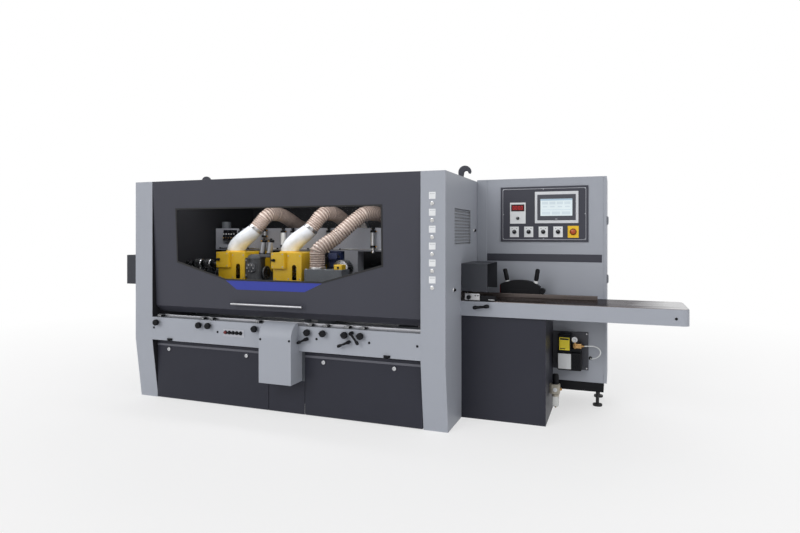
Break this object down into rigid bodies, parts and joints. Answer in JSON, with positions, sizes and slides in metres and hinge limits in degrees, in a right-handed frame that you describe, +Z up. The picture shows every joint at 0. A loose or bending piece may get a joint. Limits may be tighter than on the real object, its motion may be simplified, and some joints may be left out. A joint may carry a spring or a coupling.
{
  "type": "four sided moulder",
  "caption": "Woodworking machine that planes and profiles all four sides of fed timber, with a windowed hood, infeed table and control cabinet.",
  "frame": {"origin": "middle of the machine's box on the floor", "axes": "+X from the outfeed end to the infeed end, +Y from the front to the rear, +Z up"},
  "size_m": [4.498, 1.515, 1.8079],
  "materials": {
    "painted_grey": "satin powder coat, light grey",
    "painted_dark": "satin powder coat, dark grey",
    "cast_bed": "painted casting",
    "steel": "ground steel",
    "chrome": "bright chrome",
    "black_plastic": "matt black plastic",
    "red_plastic": "red plastic",
    "yellow_paint": "yellow paint",
    "navy_paint": "dark blue paint",
    "clear_pane": "clear polycarbonate",
    "clear_hose": "clear ribbed hose",
    "white_duct": "milky plastic duct",
    "instrument": "light instrument plastic",
    "oil_tube": "clear tube",
    "service": "dark plastic housings"
  },
  "bodies": {
    "machine": {"bed_frame": "cast_bed", "outfeed_pillar": "painted_grey", "infeed_pillar": "painted_grey", "rear_cover": "painted_grey", "front_rail": "painted_grey", "work_tables": "steel", "guide_fence": "steel", "infeed_table": "steel", "infeed_apron": "painted_grey", "infeed_base_cover": "painted_dark", "drive_cover_box": "painted_grey", "tunnel_guards": "painted_dark", "cabinet_shell": "painted_grey", "control_panel": "painted_dark", "touch_screen": "instrument", "indicator_plates": "instrument", "service_units": "service", "lube_tube": "oil_tube", "chip_hoods": "yellow_paint", "chip_ducts": "white_duct", "chip_hoses": "clear_hose", "spindle_units": "cast_bed", "spindle_motors": "navy_paint", "fasteners": "black_plastic", "levelling_feet": "black_plastic"},
    "hood": {"hood_shell": "painted_dark", "hood_window": "clear_pane", "hood_handle": "chrome"},
    "left_lower_panel": {"left_lower_panel": "painted_dark"},
    "right_lower_panel": {"right_lower_panel": "painted_dark"},
    "cabinet_door": {"cabinet_door": "painted_grey"},
    "bottom_spindle": {"bottom_spindle": "steel"},
    "right_spindle": {"right_spindle": "steel"},
    "left_spindle": {"left_spindle": "steel"},
    "top_spindle_1": {"top_spindle_1": "steel"},
    "top_spindle_2": {"top_spindle_2": "steel"},
    "feed_beam": {"feed_beam": "painted_grey"},
    "feed_roller_1": {"feed_roller_1": "steel"},
    "feed_roller_2": {"feed_roller_2": "steel"},
    "feed_roller_3": {"feed_roller_3": "steel"},
    "adjusting_knob_1": {"adjusting_knob_1": "black_plastic"},
    "adjusting_knob_2": {"adjusting_knob_2": "black_plastic"},
    "adjusting_knob_3": {"adjusting_knob_3": "black_plastic"},
    "adjusting_knob_4": {"adjusting_knob_4": "black_plastic"},
    "adjusting_knob_5": {"adjusting_knob_5": "black_plastic"},
    "adjusting_knob_6": {"adjusting_knob_6": "black_plastic"},
    "adjusting_knob_7": {"adjusting_knob_7": "black_plastic"},
    "adjusting_knob_8": {"adjusting_knob_8": "black_plastic"},
    "clamp_lever_1": {"clamp_lever_1": "black_plastic"},
    "clamp_lever_2": {"clamp_lever_2": "black_plastic"},
    "clamp_lever_3": {"clamp_lever_3": "black_plastic"},
    "clamp_lever_4": {"clamp_lever_4": "black_plastic"},
    "selector_switch_1": {"selector_switch_1": "black_plastic"},
    "selector_switch_2": {"selector_switch_2": "black_plastic"},
    "selector_switch_3": {"selector_switch_3": "black_plastic"},
    "selector_switch_4": {"selector_switch_4": "black_plastic"},
    "estop_button": {"estop_button": "red_plastic"},
    "stop_button": {"stop_button": "red_plastic"},
    "jog_buttons": {"jog_buttons": "black_plastic"},
    "side_guide": {"side_guide": "black_plastic"}
  },
  "joints": [
    {"name": "hood_hinge", "type": "hinge", "parent": "machine", "child": "hood", "pos_m": [0.801, -0.2775, 1.682], "axis": [-1, 0, 0], "range_deg": [0, 70]},
    {"name": "left_lower_panel_pull", "type": "slide", "parent": "machine", "child": "left_lower_panel", "axis": [0, -1, 0], "range_m": [0, 0.25]},
    {"name": "right_lower_panel_pull", "type": "slide", "parent": "machine", "child": "right_lower_panel", "axis": [0, -1, 0], "range_m": [0, 0.25]},
    {"name": "cabinet_door_hinge", "type": "hinge", "parent": "machine", "child": "cabinet_door", "pos_m": [1.745, 0.6885, 0.95], "axis": [0, 0, 1], "range_deg": [0, 100]},
    {"name": "bottom_spindle_turn", "type": "hinge", "parent": "machine", "child": "bottom_spindle", "pos_m": [0.37175, -0.0725, 0.7625], "axis": [0, 1, 0], "continuous": true},
    {"name": "right_spindle_turn", "type": "hinge", "parent": "machine", "child": "right_spindle", "pos_m": [0.08171, 0.1075, 0.885], "axis": [0, 0, 1], "continuous": true},
    {"name": "left_spindle_turn", "type": "hinge", "parent": "machine", "child": "left_spindle", "pos_m": [-0.25924, -0.2525, 0.885], "axis": [0, 0, 1], "continuous": true},
    {"name": "top_spindle_1_turn", "type": "hinge", "parent": "machine", "child": "top_spindle_1", "pos_m": [-0.57916, -0.0725, 1.0075], "axis": [0, 1, 0], "continuous": true},
    {"name": "top_spindle_2_turn", "type": "hinge", "parent": "machine", "child": "top_spindle_2", "pos_m": [-1.09835, -0.0725, 1.0075], "axis": [0, 1, 0], "continuous": true},
    {"name": "feed_beam_lift", "type": "slide", "parent": "machine", "child": "feed_beam", "axis": [0, 0, 1], "range_m": [-0.11, 0]},
    {"name": "feed_roller_1_turn", "type": "hinge", "parent": "feed_beam", "child": "feed_roller_1", "pos_m": [0.54001, -0.0625, 1.015], "axis": [0, 1, 0], "continuous": true},
    {"name": "feed_roller_2_turn", "type": "hinge", "parent": "feed_beam", "child": "feed_roller_2", "pos_m": [-0.21408, -0.0625, 1.015], "axis": [0, 1, 0], "continuous": true},
    {"name": "feed_roller_3_turn", "type": "hinge", "parent": "feed_beam", "child": "feed_roller_3", "pos_m": [-1.34964, -0.0625, 1.015], "axis": [0, 1, 0], "continuous": true},
    {"name": "adjusting_knob_1_turn", "type": "hinge", "parent": "machine", "child": "adjusting_knob_1", "pos_m": [-1.52344, -0.6525, 0.604], "axis": [0, 1, 0], "continuous": true},
    {"name": "adjusting_knob_2_turn", "type": "hinge", "parent": "machine", "child": "adjusting_knob_2", "pos_m": [-1.11827, -0.6525, 0.604], "axis": [0, 1, 0], "continuous": true},
    {"name": "adjusting_knob_3_turn", "type": "hinge", "parent": "machine", "child": "adjusting_knob_3", "pos_m": [-1.03414, -0.6525, 0.604], "axis": [0, 1, 0], "continuous": true},
    {"name": "adjusting_knob_4_turn", "type": "hinge", "parent": "machine", "child": "adjusting_knob_4", "pos_m": [-0.62455, -0.6525, 0.604], "axis": [0, 1, 0], "continuous": true},
    {"name": "adjusting_knob_5_turn", "type": "hinge", "parent": "machine", "child": "adjusting_knob_5", "pos_m": [-0.19282, -0.6525, 0.604], "axis": [0, 1, 0], "continuous": true},
    {"name": "adjusting_knob_6_turn", "type": "hinge", "parent": "machine", "child": "adjusting_knob_6", "pos_m": [-0.06995, -0.6525, 0.604], "axis": [0, 1, 0], "continuous": true},
    {"name": "adjusting_knob_7_turn", "type": "hinge", "parent": "machine", "child": "adjusting_knob_7", "pos_m": [0.095, -0.6525, 0.604], "axis": [0, 1, 0], "continuous": true},
    {"name": "adjusting_knob_8_turn", "type": "hinge", "parent": "machine", "child": "adjusting_knob_8", "pos_m": [0.21234, -0.6525, 0.604], "axis": [0, 1, 0], "continuous": true},
    {"name": "clamp_lever_1_turn", "type": "hinge", "parent": "machine", "child": "clamp_lever_1", "pos_m": [0.14703, -0.6525, 0.62], "axis": [0, -1, 0], "range_deg": [-30, 5]},
    {"name": "clamp_lever_2_turn", "type": "hinge", "parent": "machine", "child": "clamp_lever_2", "pos_m": [0.12489, -0.6525, 0.558], "axis": [0, -1, 0], "range_deg": [-20, 50]},
    {"name": "clamp_lever_3_turn", "type": "hinge", "parent": "machine", "child": "clamp_lever_3", "pos_m": [-0.19946, -0.6525, 0.558], "axis": [0, -1, 0], "range_deg": [-15, 50]},
    {"name": "clamp_lever_4_turn", "type": "hinge", "parent": "machine", "child": "clamp_lever_4", "pos_m": [0.906, -0.2655, 0.782], "axis": [0, -1, 0], "range_deg": [-40, 20]},
    {"name": "selector_switch_1_turn", "type": "hinge", "parent": "machine", "child": "selector_switch_1", "pos_m": [1.093, 0.2375, 1.307], "axis": [0, 1, 0], "range_deg": [-45, 45]},
    {"name": "selector_switch_2_turn", "type": "hinge", "parent": "machine", "child": "selector_switch_2", "pos_m": [1.201, 0.2375, 1.307], "axis": [0, 1, 0], "range_deg": [-45, 45]},
    {"name": "selector_switch_3_turn", "type": "hinge", "parent": "machine", "child": "selector_switch_3", "pos_m": [1.309, 0.2375, 1.307], "axis": [0, 1, 0], "range_deg": [-45, 45]},
    {"name": "selector_switch_4_turn", "type": "hinge", "parent": "machine", "child": "selector_switch_4", "pos_m": [1.417, 0.2375, 1.307], "axis": [0, 1, 0], "range_deg": [-45, 45]},
    {"name": "estop_button_press", "type": "slide", "parent": "machine", "child": "estop_button", "axis": [0, 1, 0], "range_m": [0, 0.005], "stiffness_N_per_m": 600},
    {"name": "stop_button_press", "type": "slide", "parent": "machine", "child": "stop_button", "axis": [0, 1, 0], "range_m": [0, 0.004], "stiffness_N_per_m": 600},
    {"name": "jog_buttons_press", "type": "slide", "parent": "machine", "child": "jog_buttons", "axis": [0, 1, 0], "range_m": [0, 0.004], "stiffness_N_per_m": 600},
    {"name": "side_guide_shift", "type": "slide", "parent": "machine", "child": "side_guide", "axis": [1, 0, 0], "range_m": [-0.03, 0.35]}
  ],
  "couplings": [
    {"joint": "feed_roller_2_turn", "follows": "feed_roller_1_turn", "ratio": 1},
    {"joint": "feed_roller_3_turn", "follows": "feed_roller_1_turn", "ratio": 1}
  ]
}
